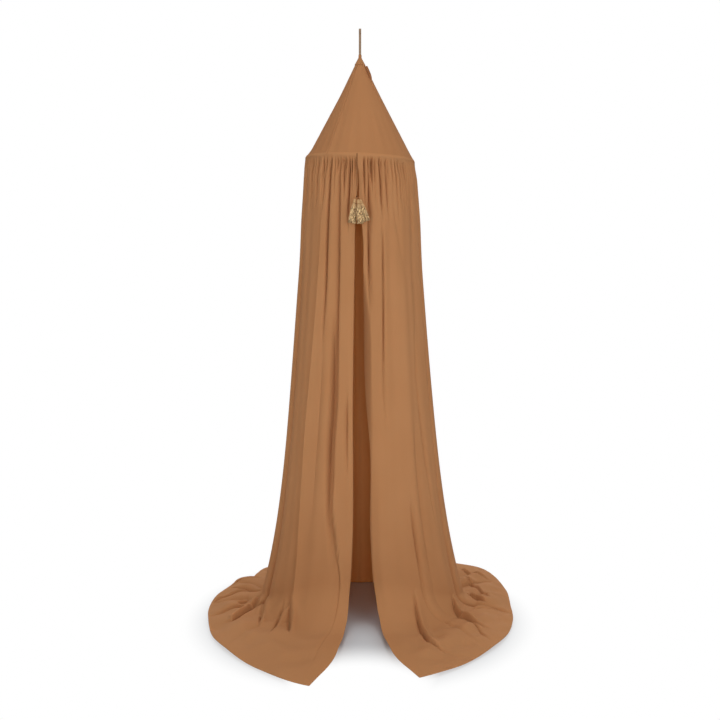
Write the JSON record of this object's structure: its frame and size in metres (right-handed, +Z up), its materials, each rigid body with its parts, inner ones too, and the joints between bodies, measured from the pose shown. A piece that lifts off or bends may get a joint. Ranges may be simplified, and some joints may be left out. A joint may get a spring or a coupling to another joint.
{
  "type": "bed crown canopy",
  "caption": "Hanging cloth bed canopy: a cone roof over a hoop, folded curtains parted at the front and pooled on the floor, with a bunch of tassels.",
  "frame": {"origin": "where the ceiling hook bears on the eye of the hanging loop, at the top of the object", "axes": "+Z up, -Y towards the front with the slit and the tassels, -X to the left as seen from the front"},
  "size_m": [1.2849, 1.6328, 2.4386],
  "materials": {
    "muslin": "thin caramel cotton muslin, matt, plain weave",
    "roof_muslin": "caramel cotton muslin, stretched smooth",
    "tape": "folded cotton tape, matt",
    "label": "blank woven label, satin",
    "rod": "extruded rod, matt",
    "ferrule": "moulded sleeve, matt",
    "lurex": "metallic gold yarn",
    "thread": "twisted cotton cord, matt"
  },
  "bodies": {
    "root": {"hanging_loop": "tape", "apex_cap": "roof_muslin", "roof_panel_front": "roof_muslin", "roof_panel_right": "roof_muslin", "roof_panel_back": "roof_muslin", "roof_panel_left": "roof_muslin", "sewn_in_label": "label", "hoop_half_front": "rod", "hoop_half_back": "rod", "hoop_ferrule_left": "ferrule", "hoop_ferrule_right": "ferrule", "hoop_casing": "muslin", "curtain_back_left": "muslin", "curtain_back_right": "muslin"},
    "curtain_left": {"curtain_front_left": "muslin"},
    "curtain_right": {"curtain_front_right": "muslin"},
    "tassel_bunch": {"tassel_cord": "thread", "tassel_knot": "thread"},
    "tassel_left": {"tassel_left_thread": "thread", "tassel_left_cap": "thread", "tassel_left_binding": "lurex", "tassel_left_skirt": "lurex"},
    "tassel_middle": {"tassel_middle_thread": "thread", "tassel_middle_cap": "thread", "tassel_middle_binding": "lurex", "tassel_middle_skirt": "lurex"},
    "tassel_right": {"tassel_right_thread": "thread", "tassel_right_cap": "thread", "tassel_right_binding": "lurex", "tassel_right_skirt": "lurex"}
  },
  "joints": [
    {"name": "curtain_left_draw", "type": "slide", "parent": "root", "child": "curtain_left", "axis": [-1, 0, 0], "range_m": [0, 0.22]},
    {"name": "curtain_right_draw", "type": "slide", "parent": "root", "child": "curtain_right", "axis": [1, 0, 0], "range_m": [0, 0.22]},
    {"name": "tassel_bunch_swing", "type": "hinge", "parent": "root", "child": "tassel_bunch", "pos_m": [-0.012, -0.2327, -0.545], "axis": [0, 1, 0], "range_deg": [-25, 25]},
    {"name": "tassel_left_swing", "type": "hinge", "parent": "tassel_bunch", "child": "tassel_left", "pos_m": [-0.012, -0.2609, -0.72], "axis": [0, 1, 0], "range_deg": [0, 55]},
    {"name": "tassel_middle_swing", "type": "hinge", "parent": "tassel_bunch", "child": "tassel_middle", "pos_m": [-0.012, -0.2609, -0.72], "axis": [-1, 0, 0], "range_deg": [0, 60]},
    {"name": "tassel_right_swing", "type": "hinge", "parent": "tassel_bunch", "child": "tassel_right", "pos_m": [-0.012, -0.2609, -0.72], "axis": [0, -1, 0], "range_deg": [0, 55]}
  ]
}
